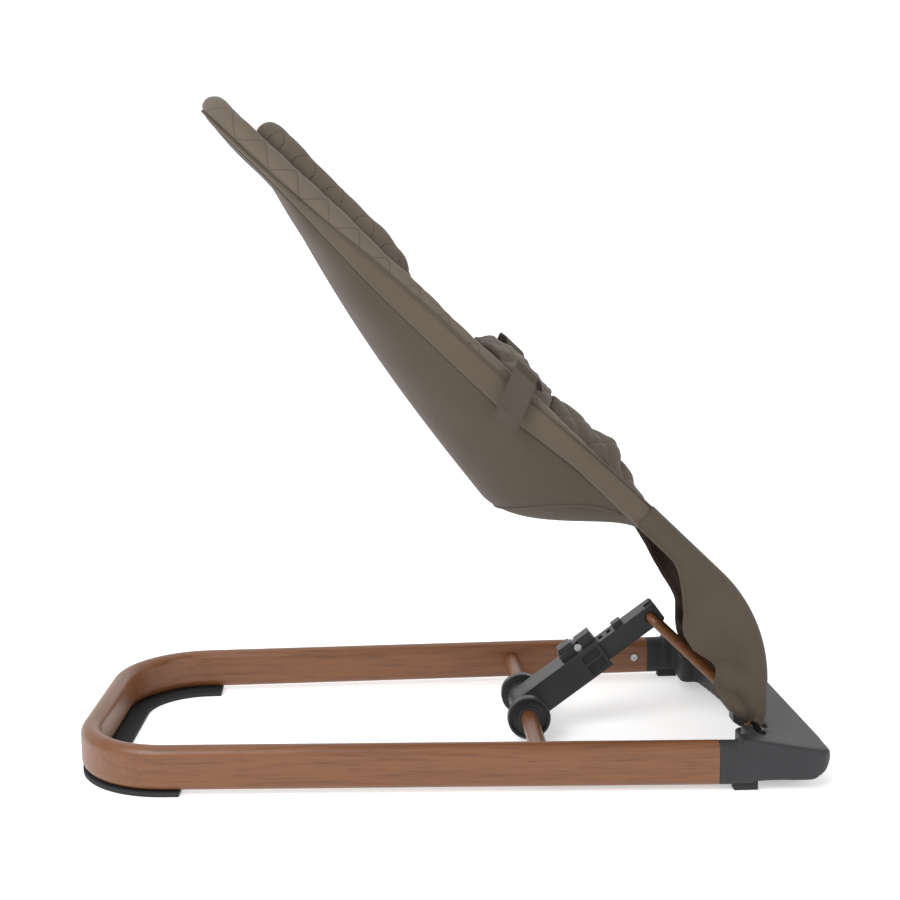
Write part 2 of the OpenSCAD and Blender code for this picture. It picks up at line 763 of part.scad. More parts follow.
// Webbing from the waist band over the rim, looped back and ending in a tab
module waist_strap() {
    t = 1.8;
    top = casing_r + 1.2;
    out = leg_y + casing_r + 1;
    strap_in = 74;
    on_band = 20;       // the inner end lies on the waist band, at this height
    color(taupe) on_seat() translate([strap_s - strap_w / 2, 0, 0])
        rotate([90, 0, 90]) linear_extrude(strap_w)
            polygon([[strap_in, -on_band], [leg_y, -top - 0.6], [out - 3, -top - 8],
                     [out, -top + 2], [out, 28], [out + t, 28], [out + t, -top + 1],
                     [out - 2, -top - 10.5], [leg_y, -top - 0.6 - t], [strap_in, -on_band - t]]);
}

module waist_strap_left() { mirror([0, 1, 0]) waist_strap(); }
module waist_strap_right() { waist_strap(); }

base_rail();
rear_foot_strip();
front_housing();
housing_cover();
cover_screws();
front_feet();
rail_screws();
lower_crossbar();
hinge_pins();
outer_arm();
arm_flange_left();
arm_flange_right();
latch_housing();
latch_lever();
latch_spring();
latch_screw();
inner_arm();
arm_end_cap();
support_bar();
hinge_knuckle_left();
hinge_knuckle_right();
seat_tube();
rim_casing();
seat_sling();
quilted_liner();
newborn_inlay();
head_support();
front_apron();
crotch_pad();
waist_band();
waist_strap_left();
waist_strap_right();
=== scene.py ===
# %% [markdown]
# # A bouncer seat, in fabric, wood and plastic
# The seat is a fabric sling on a bent tube. It hinges on a low base and rests on a
# telescopic arm. The hard parts come ready from the CAD frame and only need a finish.
# The soft parts are made here, because cloth has seams, sag and folds that solids lack.

import math

import bmesh
import bpy
from mathutils import Matrix, Vector, noise


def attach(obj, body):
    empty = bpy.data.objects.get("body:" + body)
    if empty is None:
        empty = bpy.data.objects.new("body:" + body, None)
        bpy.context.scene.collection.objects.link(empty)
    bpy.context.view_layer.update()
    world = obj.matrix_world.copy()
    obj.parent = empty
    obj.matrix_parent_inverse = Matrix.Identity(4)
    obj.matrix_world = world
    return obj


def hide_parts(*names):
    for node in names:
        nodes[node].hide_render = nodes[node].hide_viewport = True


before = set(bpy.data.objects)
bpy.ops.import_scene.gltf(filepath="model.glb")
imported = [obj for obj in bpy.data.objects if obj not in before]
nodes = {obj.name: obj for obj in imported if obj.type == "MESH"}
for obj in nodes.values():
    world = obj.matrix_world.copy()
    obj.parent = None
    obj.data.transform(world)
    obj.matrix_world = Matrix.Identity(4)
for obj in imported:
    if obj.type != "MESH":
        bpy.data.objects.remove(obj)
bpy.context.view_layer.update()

# %% [markdown]
# ## Camera
# A slightly raised side view. It stands about a metre and a half away, level with the
# top of the seat, and looks a little down, so both long rails of the base show.
# The view is turned by its own angles, so the perspective stays true.

# %% Camera
def look(place, yaw, pitch, roll, lens):
    """Makes the camera. Yaw is from straight ahead along +Y, pitch is down, in degrees."""
    yaw, pitch, roll = (math.radians(angle) for angle in (yaw, pitch, roll))
    ahead = Vector((-math.sin(yaw), math.cos(yaw), 0))
    right = Vector((math.cos(yaw), math.sin(yaw), 0))
    up = Vector((0, 0, 1)) * math.cos(pitch) + ahead * math.sin(pitch)
    across = right * math.cos(roll) + up * math.sin(roll)
    over = up * math.cos(roll) - right * math.sin(roll)
    camera = bpy.data.objects.new("camera", bpy.data.cameras.new("camera"))
    camera.matrix_world = Matrix.Translation(place) @ Matrix(
        (across, over, across.cross(over))).transposed().to_4x4()
    camera.data.lens = lens
    camera.data.sensor_width = 36
    bpy.context.scene.collection.objects.link(camera)
    bpy.context.scene.camera = camera
    return camera


look(Vector((-0.0516, -1.4670, 0.5149)), -2.453, 7.358, -0.463, 52.8)
print("camera looks along", [round(x, 3) for x in
      bpy.context.scene.camera.matrix_world.to_quaternion() @ Vector((0, 0, -1))])

# %% [markdown]
# ## The seat's own ruler
# Cloth is easier to draw along the seat than in the room. The ruler starts at the knee
# of the seat tube: s runs up the seat, v across it, and h straight out of its front.
# These few sizes repeat the seat tube's layout, in metres.

# %% Seat layout
HINGE_X, HINGE_Z = 0.322, 0.050
SLOPE = math.radians(43.9)
LEG_L, KNEE_R = 0.045, 0.147
LEG_Y = 0.137
EAR_R, DIP_R = 0.050, 0.120
EAR_S = 0.650
EAR_V = LEG_Y - EAR_R
DIP_TURN = math.asin(EAR_V / (EAR_R + DIP_R))
DIP_S = EAR_S + (EAR_R + DIP_R) * math.cos(DIP_TURN) - DIP_R
KNEE_TURN = math.pi / 2 - SLOPE
KNEE_X = HINGE_X - KNEE_R * (1 - math.cos(KNEE_TURN))
KNEE_Z = HINGE_Z + LEG_L + KNEE_R * math.sin(KNEE_TURN)
UP_SEAT = Vector((-math.cos(SLOPE), 0, math.sin(SLOPE)))
OUT_OF_SEAT = Vector((math.sin(SLOPE), 0, math.cos(SLOPE)))


def seat_point(s, v, h):
    return Vector((KNEE_X, v, KNEE_Z)) + UP_SEAT * s + OUT_OF_SEAT * h


def smooth(x, a, b):
    """0 before a, 1 after b, and an even S between them."""
    t = min(1.0, max(0.0, (x - a) / (b - a)))
    return t * t * (3 - 2 * t)


def bump_at(x, middle, width):
    """A soft hill of height 1."""
    return math.exp(-((x - middle) / width) ** 2)


print("knee at", round(KNEE_X, 4), round(KNEE_Z, 4))

# %% [markdown]
# ## The line of the seat tube
# The tube rises along one side, goes round a rounded ear at the head, dips between the
# ears and comes down the other side. Rim, piping and stitches all follow it, so one
# function gives its place and its outward direction at any distance from the middle.

# %% Line of the tube
DIP_L = DIP_R * DIP_TURN
EAR_L = EAR_R * (math.pi / 2 + DIP_TURN)


def tube_line(d):
    """Place (s, v) and outward direction (s, v) at distance d from the head's middle."""
    side, q = (1 if d >= 0 else -1), abs(d)
    if q < DIP_L:
        turn = q / DIP_R
        place = (DIP_S + DIP_R - DIP_R * math.cos(turn), DIP_R * math.sin(turn))
        out = (math.cos(turn), -math.sin(turn))
    elif q < DIP_L + EAR_L:
        turn = -DIP_TURN + (q - DIP_L) / EAR_R
        place = (EAR_S + EAR_R * math.cos(turn), EAR_V + EAR_R * math.sin(turn))
        out = (math.cos(turn), math.sin(turn))
    else:
        place = (EAR_S - (q - DIP_L - EAR_L), LEG_Y)
        out = (0.0, 1.0)
    return (place[0], side * place[1]), (out[0], side * out[1])


def line_distance(s):
    """Distance from the head's middle to the place s on a side."""
    return DIP_L + EAR_L + EAR_S - s


def near_tube(d, out, up):
    """A point beside the tube: out from its middle in the seat's plane, and up from it."""
    (s, v), (ds, dv) = tube_line(d)
    return seat_point(s + ds * out, v + dv * out, up)


print("half of the tube's upper line is", round(line_distance(0.0), 3), "m")

# %% [markdown]
# ## Cloth from a grid
# Every sheet of cloth starts as a flat grid from one operator. A formula then lays its
# corners in place, as a pattern piece is laid on a form. The grid's map keeps each
# corner's distance in metres along the cloth, so weave and stitches follow the fabric.

# %% Grid helper
def laid_grid(name, across, along, place, lengths=None, closed=False):
    """A grid with corners at place(u, w), u and w from 0 to 1. Closed joins u=1 to u=0.
    lengths(u, w) gives the map in metres."""
    shape = bmesh.new()
    bmesh.ops.create_grid(shape, x_segments=across, y_segments=along, size=0.5)
    chart = shape.loops.layers.uv.new("cloth")
    for face in shape.faces:
        for loop in face.loops:
            u, w = loop.vert.co.x + 0.5, loop.vert.co.y + 0.5
            loop[chart].uv = lengths(u, w) if lengths else (u, w)
    for corner in shape.verts:
        corner.co = place(corner.co.x + 0.5, corner.co.y + 0.5)
    if closed:
        bmesh.ops.remove_doubles(shape, verts=shape.verts, dist=1e-6)
    return to_piece(name, shape)


def to_piece(name, shape, shade_smooth=True):
    bmesh.ops.recalc_face_normals(shape, faces=shape.faces)
    mesh = bpy.data.meshes.new(name)
    shape.to_mesh(mesh)
    shape.free()
    for face in mesh.polygons:
        face.use_smooth = shade_smooth
    piece = bpy.data.objects.new(name, mesh)
    bpy.context.scene.collection.objects.link(piece)
    return piece


def apply_modifiers(piece):
    """Turns what the modifiers show into the piece's own mesh."""
    bpy.context.view_layer.update()
    seen = piece.evaluated_get(bpy.context.evaluated_depsgraph_get())
    mesh = bpy.data.meshes.new_from_object(seen)
    piece.modifiers.clear()
    piece.data = mesh


def thicken(piece, thickness, offset):
    """Gives a sheet its thickness. Offset 1 puts it outside the sheet, -1 inside."""
    wall = piece.modifiers.new("thickness", "SOLIDIFY")
    wall.thickness = thickness
    wall.offset = offset
    apply_modifiers(piece)


def tube_along(name, points, radius, sides=8):
    """A round cord through points. The radius is one number or one for each point."""
    radii = radius if isinstance(radius, list) else [radius] * len(points)
    shape = bmesh.new()
    count = len(points)
    rings = []
    for i, (point, size) in enumerate(zip(points, radii)):
        before = points[max(0, i - 1)]
        after = points[min(count - 1, i + 1)]
        turn = (after - before).to_track_quat("Z", "Y").to_matrix().to_4x4()
        ring = bmesh.ops.create_circle(shape, segments=sides, radius=size,
                                       matrix=Matrix.Translation(point) @ turn)
        rings.append([e for e in shape.edges if all(v in set(ring["verts"]) for v in e.verts)])
    for first, second in zip(rings, rings[1:]):
        bmesh.ops.bridge_loops(shape, edges=first + second)
    bmesh.ops.holes_fill(shape, edges=[e for e in shape.edges if e.is_boundary], sides=sides)
    return to_piece(name, shape)


def tri_count(piece):
    return sum(len(face.vertices) - 2 for face in piece.data.polygons)


print("grid helper ready")

# %% [markdown]
# ## Finishes
# Each finish is a small recipe of nodes. The base colour never is one flat value: a slow
# cloud and a fine pattern move it a little. The same patterns feed a faint bump, so that
# light catches the surface. Single values such as sheen stay on the shader's own socket.

# %% Finish helpers
def srgb(code):
    """A hex colour as linear red, green and blue."""
    parts = [int(code[i:i + 2], 16) / 255 for i in (1, 3, 5)]
    return tuple(c / 12.92 if c <= 0.04045 else ((c + 0.055) / 1.055) ** 2.4
                 for c in parts) + (1,)


def darker(colour, factor):
    return tuple(c * factor for c in colour[:3]) + (1,)


class Finish:
    """A material with helpers that add and wire its nodes."""

    def __init__(self, name, roughness=0.5, **values):
        self.material = bpy.data.materials.new(name)
        self.material.use_nodes = True
        self.tree = self.material.node_tree
        self.shader = self.tree.nodes["Principled BSDF"]
        self.shader.inputs["Roughness"].default_value = roughness
        for key, value in values.items():
            self.shader.inputs[key.replace("_", " ")].default_value = value
        self.bumps = None

    def node(self, kind, inputs=None, **settings):
        made = self.tree.nodes.new("ShaderNode" + kind)
        for key, value in settings.items():
            setattr(made, key, value)
        for key, value in (inputs or {}).items():
            self.put(made.inputs[key], value)
        return made

    def put(self, socket, value):
        if isinstance(value, bpy.types.NodeSocket):
            self.tree.links.new(value, socket)
        elif isinstance(value, bpy.types.Node):
            self.tree.links.new(value.outputs[0], socket)
        else:
            socket.default_value = value

    def place(self, source="Object", scale=(1, 1, 1), turn=(0, 0, 0), shift=(0, 0, 0)):
        where = self.node("TexCoord")
        return self.node("Mapping", {"Vector": where.outputs[source], "Scale": scale,
                                     "Rotation": turn, "Location": shift})

    def noise(self, place, scale, detail=3, roughness=0.5):
        return self.node("TexNoise", {"Vector": place, "Scale": scale, "Detail": detail,
                                      "Roughness": roughness}).outputs["Fac"]

    def ramp(self, value, *stops):
        made = self.node("ValToRGB", {"Fac": value})
        stripes = made.color_ramp.elements
        while len(stripes) < len(stops):
            stripes.new(0.5)
        for stripe, (at, colour) in zip(stripes, stops):
            stripe.position = at
            stripe.color = colour if hasattr(colour, "__len__") else (colour,) * 3 + (1,)
        return made.outputs["Color"]

    def sum(self, kind, a, b=0.0, c=0.0):
        made = self.node("Math", operation=kind)
        for socket, value in zip(made.inputs, (a, b, c)):
            self.put(socket, value)
        return made.outputs["Value"]

    def mix(self, factor, a, b, kind="MIX"):
        made = self.node("Mix", data_type="RGBA", blend_type=kind)
        self.put(made.inputs["Factor"], factor)
        self.put(made.inputs["A"], a)
        self.put(made.inputs["B"], b)
        return made.outputs["Result"]

    def colour(self, value):
        self.put(self.shader.inputs["Base Color"], value)

    def rough(self, value, low, high):
        spread = self.node("MapRange", {"Value": value, "To Min": low, "To Max": high})
        self.put(self.shader.inputs["Roughness"], spread.outputs["Result"])

    def bump(self, height, strength, distance):
        made = self.node("Bump", {"Height": height, "Strength": strength,
                                  "Distance": distance})
        if self.bumps:
            self.put(made.inputs["Normal"], self.bumps.outputs["Normal"])
        self.bumps = made
        self.put(self.shader.inputs["Normal"], made.outputs["Normal"])


print("finish helpers ready")

# %% [markdown]
# ### Woven cloth
# The seat's cloth is a fine plain weave with a dry, slightly brushed face. Two sine
# bands at right angles make the weave, one for each set of threads. They read the
# cloth's own map, so the threads turn with the panel. A third, slower noise gives
# the uneven tone of dyed cotton.

# %% Woven cloth
def woven(name, colour, thread=0.0009, tone=0.10, quilt=0.0, fuzz=0.12):
    """Plain weave. thread is the spacing of the threads in metres. quilt is the pitch of
    the diamond stitching, or 0."""
    cloth = Finish(name, 0.86, Sheen_Weight=fuzz, Sheen_Roughness=0.45,
                   Specular_IOR_Level=0.22)
    chart = cloth.place("UV")
    parts = cloth.node("SeparateXYZ", {"Vector": chart})
    x, y = parts.outputs["X"], parts.outputs["Y"]
    warp = cloth.sum("SINE", cloth.sum("MULTIPLY", x, 2 * math.pi / thread))
    weft = cloth.sum("SINE", cloth.sum("MULTIPLY", y, 2 * math.pi / thread))
    weave = cloth.sum("MULTIPLY_ADD", cloth.sum("MULTIPLY", warp, weft), 0.5, 0.5)
    room = cloth.place()
    cloud = cloth.noise(room, 9, 4)
    slub = cloth.noise(cloth.place("UV", scale=(1, 0.12, 1)), 900, 2)
    base = cloth.ramp(cloud, (0.3, darker(colour, 1 - tone)), (0.7, darker(colour, 1 + tone)))
    base = cloth.mix(cloth.sum("MULTIPLY", weave, 0.16), base, darker(colour, 0.62))
    base = cloth.mix(cloth.sum("MULTIPLY", slub, 0.14), base, darker(colour, 1.35))
    if quilt:
        stitch = quilt_stitch(cloth, x, y, quilt)
        base = cloth.mix(cloth.sum("MULTIPLY", stitch, 0.62), base, darker(colour, 0.34))
        cloth.bump(stitch, 0.6, -0.0006)
    cloth.colour(base)
    cloth.rough(slub, 0.8, 0.95)
    cloth.bump(weave, 0.35, 0.00018)
    cloth.bump(cloth.noise(room, 60, 3), 0.25, 0.0012)
    return cloth.material


def quilt_stitch(cloth, x, y, pitch, width=0.0017, dash=0.0038):
    """1 on the thread of a diamond quilting line, 0 elsewhere."""
    lines = []
    for sign in (1, -1):
        along = cloth.sum("MULTIPLY_ADD", y, sign, x)
        run = cloth.sum("MULTIPLY_ADD", y, -sign, x)
        away = cloth.sum("PINGPONG", along, pitch / 2)
        line = cloth.sum("LESS_THAN", away, width / 2)
        gap = cloth.sum("LESS_THAN", cloth.sum("PINGPONG", run, dash / 2), dash * 0.34)
        lines.append(cloth.sum("MULTIPLY", line, gap))
    return cloth.sum("MAXIMUM", *lines)


TAUPE_DARK = srgb("#5B5044")
TAUPE_LIGHT = srgb("#62584D")
QUILT_PITCH = 0.041
side_cloth = woven("side_cloth", darker(TAUPE_DARK, 0.70))
sleeve_cloth = woven("sleeve_cloth", darker(TAUPE_DARK, 0.92))
pad_cloth = woven("pad_cloth", TAUPE_LIGHT, quilt=QUILT_PITCH)
inlay_cloth = woven("inlay_cloth", darker(TAUPE_LIGHT, 0.95), thread=0.0011, quilt=0.033)
# The harness cloth is the pad cloth's colour made darker: painted shade for the shadow on the
# crotch pad and waist band.
harness_cloth = woven("harness_cloth", darker(TAUPE_LIGHT, 0.80), quilt=0.046)
wing_cloth = woven("wing_cloth", darker(TAUPE_LIGHT, 0.82), quilt=QUILT_PITCH)
piping_cloth = woven("piping_cloth", darker(TAUPE_DARK, 0.74), thread=0.0007)
print("cloth finishes:", len(bpy.data.materials))

# %% [markdown]
# ### Webbing
# Strap webbing is thick, ribbed across and a bit shinier than cloth. Ribs are one sine
# along the strap, with a fine twill between them.

# %% Webbing
def webbing(name, colour, rib=0.0021):
    band = Finish(name, 0.55, Sheen_Weight=0.10, Specular_IOR_Level=0.38)
    parts = band.node("SeparateXYZ", {"Vector": band.place("UV")})
    x, y = parts.outputs["X"], parts.outputs["Y"]
    ribs = band.sum("SINE", band.sum("MULTIPLY", x, 2 * math.pi / rib))
    threads = band.sum("SINE", band.sum("MULTIPLY", band.sum("ADD", x, y),
                                        2 * math.pi / (rib * 0.45)))
    height = band.sum("MULTIPLY_ADD", threads, 0.3, ribs)
    tone = band.ramp(band.noise(band.place(), 30, 3), (0.3, darker(colour, 0.9)),
                     (0.7, darker(colour, 1.12)))
    band.colour(band.mix(band.sum("MULTIPLY_ADD", ribs, -0.12, 0.16), tone,
                         darker(colour, 0.5)))
    band.bump(height, 0.5, 0.0003)
    return band.material


strap_web = webbing("strap_web", srgb("#463C31"))
print("webbing ready")

# %% [markdown]
# ### Wood-look rail
# The base and the seat tube are steel with a wood-grain film. Grain is noise pulled long
# along the part, so each part gets its grain along its own run. Dark fine pores and
# broad growth bands lie over it, and a thin satin lacquer covers all.

# %% Wood
WOOD_PALE, WOOD_DEEP = srgb("#784A28"), srgb("#59341B")


def wood(name, run, tone=1.0):
    """run is the direction of the grain in the room: X, Y or the seat's slope."""
    film = Finish(name, 0.42, Coat_Weight=0.18, Coat_Roughness=0.28)
    turns = {"X": (0, 0, 0), "Y": (0, 0, math.pi / 2), "slope": (0, SLOPE, 0)}
    grain = film.place(turn=turns[run])
    long = film.node("VectorMath", {0: grain, 1: (1.0, 14.0, 14.0)}, operation="MULTIPLY")
    bands = film.noise(long, 7.5, 6, 0.6)
    fine = film.node("VectorMath", {0: grain, 1: (9.0, 420.0, 420.0)}, operation="MULTIPLY")
    pores = film.noise(fine, 1.0, 3, 0.7)
    ripple = film.node("TexWave", {"Vector": long, "Scale": 2.1, "Distortion": 9.0,
                                   "Detail": 3.0, "Detail Scale": 1.6},
                       wave_type="BANDS", bands_direction="Z")
    pattern = film.sum("MULTIPLY_ADD", ripple.outputs["Fac"], 0.16, bands)
    colour = film.ramp(pattern, (0.30, darker(WOOD_DEEP, tone * 1.3)),
                       (0.58, darker(WOOD_PALE, tone * 0.92)), (0.84, darker(WOOD_PALE, tone)))
    speck = film.ramp(pores, (0.36, 1.0), (0.47, 0.0))
    colour = film.mix(film.sum("MULTIPLY", speck, 0.46), colour, darker(WOOD_DEEP, 0.6))
    film.colour(colour)
    film.rough(bands, 0.36, 0.5)
    film.bump(pores, 0.25, 0.00025)
    film.bump(film.noise(film.place(), 14, 2), 0.1, 0.0015)
    return film.material


wood_along = wood("wood_along", "X")
wood_across = wood("wood_across", "Y")
wood_slope = wood("wood_slope", "slope", 0.95)
print("wood finishes ready")

# %% [markdown]
# ### Moulded plastic, rubber and steel
# The housing is fine-grained grey plastic. The arm is darker and a little smoother.
# Both get a spark-eroded grain as bump, a cloudy gloss from handling, and a painted
# highlight: paler colour along the edges, where a bevel catches the light. The edge mask
# is the difference between the bevelled and the plain normal. Steel screws are brushed round.

# %% Plastic, rubber and steel
def plastic(name, colour, roughness, grain=900, edge_highlight=0.25):
    moulded = Finish(name, roughness, Specular_IOR_Level=0.22)
    room = moulded.place()
    cloud = moulded.noise(room, 18, 4)
    tone = moulded.ramp(cloud, (0.3, darker(colour, 0.9)), (0.7, darker(colour, 1.1)))
    dust = moulded.ramp(moulded.noise(room, 260, 3, 0.7), (0.55, 0.0), (0.75, 1.0))
    tone = moulded.mix(moulded.sum("MULTIPLY", dust, 0.08), tone, darker(colour, 2.0))
    edge = moulded.node("Bevel", {"Radius": 0.0012}, samples=4)
    flat = moulded.node("NewGeometry")
    bend = moulded.node("VectorMath", {0: edge.outputs["Normal"],
                                       1: flat.outputs["Normal"]}, operation="DOT_PRODUCT")
    # Painted highlight: the colour turns paler along bevelled edges, where they would catch the
    # light.
    edge_highlight_mask = moulded.ramp(bend.outputs["Value"], (0.90, 1.0), (0.995, 0.0))
    tone = moulded.mix(moulded.sum("MULTIPLY", edge_highlight_mask, edge_highlight), tone, darker(colour, 2.6))
    moulded.colour(tone)
    moulded.rough(cloud, roughness - 0.07, roughness + 0.07)
    moulded.bumps = edge
    moulded.bump(moulded.noise(room, grain, 2, 0.6), 0.22, 0.00025)
    return moulded.material


housing_grey = plastic("housing_grey", srgb("#323234"), 0.46)
arm_black = plastic("arm_black", srgb("#2F3031"), 0.36, 1200)
foot_rubber = plastic("foot_rubber", srgb("#2C2D2E"), 0.72, 500, 0.1)


def brushed(name, colour):
    metal = Finish(name, 0.3, Metallic=1.0)
    fine = metal.noise(metal.place(scale=(1, 1, 30)), 160, 3)
    metal.colour(metal.ramp(fine, (0.3, darker(colour, 0.8)), (0.7, colour)))
    metal.rough(fine, 0.22, 0.42)
    metal.bump(fine, 0.15, 0.0001)
    return metal.material


screw_steel = brushed("screw_steel", srgb("#C4C6C8"))
dark_steel = brushed("dark_steel", srgb("#4A4B4D"))
print("hard finishes ready")

# %% Finish of each hard part
HARD = {
    "base_rail": wood_along, "lower_crossbar": wood_across, "support_bar": wood_across,
    "seat_tube": wood_slope,
    "rear_foot_strip": foot_rubber, "front_feet": foot_rubber,
    "front_housing": housing_grey, "housing_cover": arm_black,
    "outer_arm": arm_black, "arm_flange_left": arm_black, "arm_flange_right": arm_black,
    "latch_housing": arm_black, "latch_lever": arm_black, "inner_arm": arm_black,
    "arm_end_cap": arm_black, "hinge_knuckle_left": arm_black,
    "hinge_knuckle_right": arm_black,
    "cover_screws": screw_steel, "rail_screws": screw_steel, "hinge_pins": dark_steel,
    "latch_spring": screw_steel, "latch_screw": screw_steel,
}
for part, finish in HARD.items():
    mesh = nodes[part].data
    mesh.materials.clear()
    mesh.materials.append(finish)
print("finished", len(HARD), "hard parts")

# %% [markdown]
# ## Moulded housing
# The CAD housing has the right shape but knife-sharp edges. A copy is welded, rebuilt
# on an even grid and relaxed, most of all at its outer shoulders, as a mould would
# round it. The rail, pins and cover keep their exact shapes and stay as they are.

# %% Rounded housing
def outer_shoulder(co):
    """How much the mould rounds the housing here, 0 to 1."""
    return smooth(abs(co.y), 0.158, 0.176) * smooth(co.x, 0.296, 0.330)


shape = bmesh.new()
shape.from_mesh(nodes["front_housing"].data)
bmesh.ops.remove_doubles(shape, verts=shape.verts, dist=1e-5)
housing = to_piece("housing_shell", shape)
even = housing.modifiers.new("even", "REMESH")
even.mode = "VOXEL"
even.voxel_size = 0.0019
apply_modifiers(housing)
all_round = housing.vertex_groups.new(name="all_round")
shoulders = housing.vertex_groups.new(name="shoulders")
for corner in housing.data.vertices:
    collar = smooth(corner.co.x, 0.273, 0.279)
    all_round.add([corner.index], collar, "REPLACE")
    shoulders.add([corner.index], outer_shoulder(corner.co), "REPLACE")
for group, turns in (("all_round", 4), ("shoulders", 34)):
    relax = housing.modifiers.new(group, "SMOOTH")
    relax.vertex_group = group
    relax.factor = 0.5
    relax.iterations = turns
apply_modifiers(housing)
for face in housing.data.polygons:
    face.use_smooth = True
housing.data.materials.clear()
housing.data.materials.append(housing_grey)
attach(housing, "base")
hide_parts("front_housing")
print("housing:", tri_count(housing), "triangles")

# %% [markdown]
# ## The sling
# One cut panel hangs between the two sides of the tube, like a hammock. It is deepest
# under the child's hips, rises slowly to the head and quickly to the knee. Its edge is
# pinched into the sleeve's seam below the tube. A grid is laid on this form, row by row
# from the knee to the head's curved edge, and then given the cloth's thickness.

# %% Shape of the sling
BELLY_S, BELLY_H = 0.217, 0.106
HEAD_DEPTH = 0.020
CASING_R = 0.0118


def belly(s):
    """Depth of the sling's middle below the tube, at s."""
    if s > BELLY_S:
        x = min(1.0, (s - BELLY_S) / 0.392)
        return BELLY_H - (BELLY_H - HEAD_DEPTH) * (0.65 * x + 0.35 * x ** 2.5)
    return BELLY_H * math.cos(math.pi / 2 * min(1.0, (BELLY_S - s) / 0.137))


def pinch(s):
    """How far below the tube's middle the sleeve's seam hangs."""
    return 0.0105 + 0.0105 * smooth(s, 0.15, 0.30) - 0.0085 * smooth(s, 0.42, 0.64)


def head_curve(c, inset):
    """Edge of the cloth at the head, c from -1 to 1, inset from the tube's middle."""
    reach = DIP_L + EAR_L
    (s, v), (ds, dv) = tube_line(c * reach)
    return s - ds * inset, v - dv * inset


def cloth_place(c, r, start, inset):
    """Place (s, v) on a cloth whose rows run from s=start to the head's curve."""
    s1, v1 = head_curve(c, inset)
    return start + (s1 - start) * r, c * (LEG_Y - inset) * (1 - r) + v1 * r


def sling_height(c, r, s):
    edge = pinch(s)
    hollow = max(0.0, belly(s) - edge)
    ripple = 0.0012 * math.sin(s * 70 + 5 * abs(c)) * (1 - c * c) * smooth(abs(c), 0.2, 0.6)
    return -edge - hollow * (1 - abs(c) ** 2.4) * (1 - r ** 8) + ripple


print("belly at the hips", round(belly(BELLY_S), 3), "at the head", round(belly(0.61), 3))

# %% Make the sling
SLING_START = 0.060


def sling_place(u, w):
    c = math.sin((u - 0.5) * math.pi) * 0.35 + (2 * u - 1) * 0.65
    s, v = cloth_place(c, w, SLING_START, 0.004)
    return seat_point(s, v, sling_height(c, w, s))


sling = laid_grid("sling", 90, 200, sling_place,
                  lambda u, w: ((u - 0.5) * 0.36, w * 0.66))
thicken(sling, 0.0018, 0)
sling.data.materials.append(side_cloth)
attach(sling, "seat")
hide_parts("seat_sling")
print("sling:", tri_count(sling), "triangles")

# %% Seam of the seat's bottom panel
def bottom_seam(count=120):
    points = []
    for i in range(count + 1):
        c = -0.97 + 1.94 * i / count
        s = 0.200 - 0.090 * abs(c) ** 3
        r = (s - SLING_START) / (head_curve(c, 0.004)[0] - SLING_START)
        s, v = cloth_place(c, r, SLING_START, 0.004)
        points.append(seat_point(s, v + 0.0010 * c, sling_height(c, r, s) - 0.0010))
    return points


welt = tube_along("bottom_seam", bottom_seam(), 0.0015)
welt.data.materials.append(piping_cloth)
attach(welt, "seat")

# %% [markdown]
# ## Sleeve round the tube
# The side cloth wraps the tube and is sewn to itself just below it, so its section is a
# drop: round above, pinched to a seam below. It is one grid whose section closes on
# itself, swept along the tube's line.

# %% Sleeve
SLEEVE_END = 0.080
SLEEVE_RUN = line_distance(SLEEVE_END)


def sleeve_place(u, w):
    d = (2 * w - 1) * SLEEVE_RUN
    (s, _), _ = tube_line(d)
    turn = 2 * math.pi * u - math.pi / 2
    wrinkle = 0.0003 * math.sin(d * 160 + 2 * math.sin(d * 37)) * max(0, math.cos(turn))
    out, up = (CASING_R + wrinkle) * math.cos(turn), (CASING_R + wrinkle) * math.sin(turn)
    away = min(u, 1 - u) * 360
    pull = math.exp(-(away / 26) ** 2)
    drop = max(0.0, pinch(s) - CASING_R)
    return near_tube(d, out - 0.003 * pull, up - drop * pull)


sleeve = laid_grid("sleeve", 40, 420, sleeve_place,
                   lambda u, w: (u * 0.08, w * 2 * SLEEVE_RUN), closed=True)
sleeve.data.materials.append(sleeve_cloth)
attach(sleeve, "seat")
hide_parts("rim_casing")
print("sleeve:", tri_count(sleeve), "triangles")

# %% [markdown]
# ## Padded rim
# The quilted cover folds over the tube and ends in a corded seam on its outer side.
# The seam lies low at the head and climbs to the top of the tube near the waist. The
# pad is thickest on top and dimples along its diamond stitching.

# %% Padded rim
def piping_turn(s):
    """Angle of the corded seam on the tube, 0 outward and 90 degrees straight up."""
    low = -46 + 66 * smooth(s, 0.66, 0.36)
    return math.radians(low + 62 * (1 - smooth(s, 0.08, 0.36)))


def quilt_lift(x, y, pitch=QUILT_PITCH):
    """1 in the middle of a diamond and 0 on its stitched edges."""
    lift = 1.0
    for along in (x + y, x - y):
        away = abs((along + pitch / 2) % pitch - pitch / 2)
        lift *= 1 - math.exp(-(away / 0.0065) ** 1.3)
    return lift


RIM_END = 0.088
RIM_RUN = line_distance(RIM_END)
PAD_R = 0.0127


def rim_map(u, w):
    d = (2 * w - 1) * RIM_RUN
    (s, _), _ = tube_line(d)
    start = piping_turn(s)
    turn = start + u * (math.radians(232) - start)
    return d, turn, (LEG_Y + (math.pi / 2 - turn) * PAD_R)


def rim_place(u, w):
    d, turn, around = rim_map(u, w)
    (s, _), _ = tube_line(d)
    soft = math.sin(math.pi * min(1.0, u * 1.35)) if u < 0.74 else 1.0
    puff = 0.0009 * quilt_lift(abs(d), around) * smooth(u, 0.0, 0.25) + 0.0006 * soft
    puff += 0.0006 * math.sin(d * 43 + 1.3 * math.sin(d * 17))
    tuck = -0.0012 * (1 - smooth(u, 0.0, 0.08))
    radius = PAD_R + puff + tuck
    return near_tube(d, radius * math.cos(turn), radius * math.sin(turn))


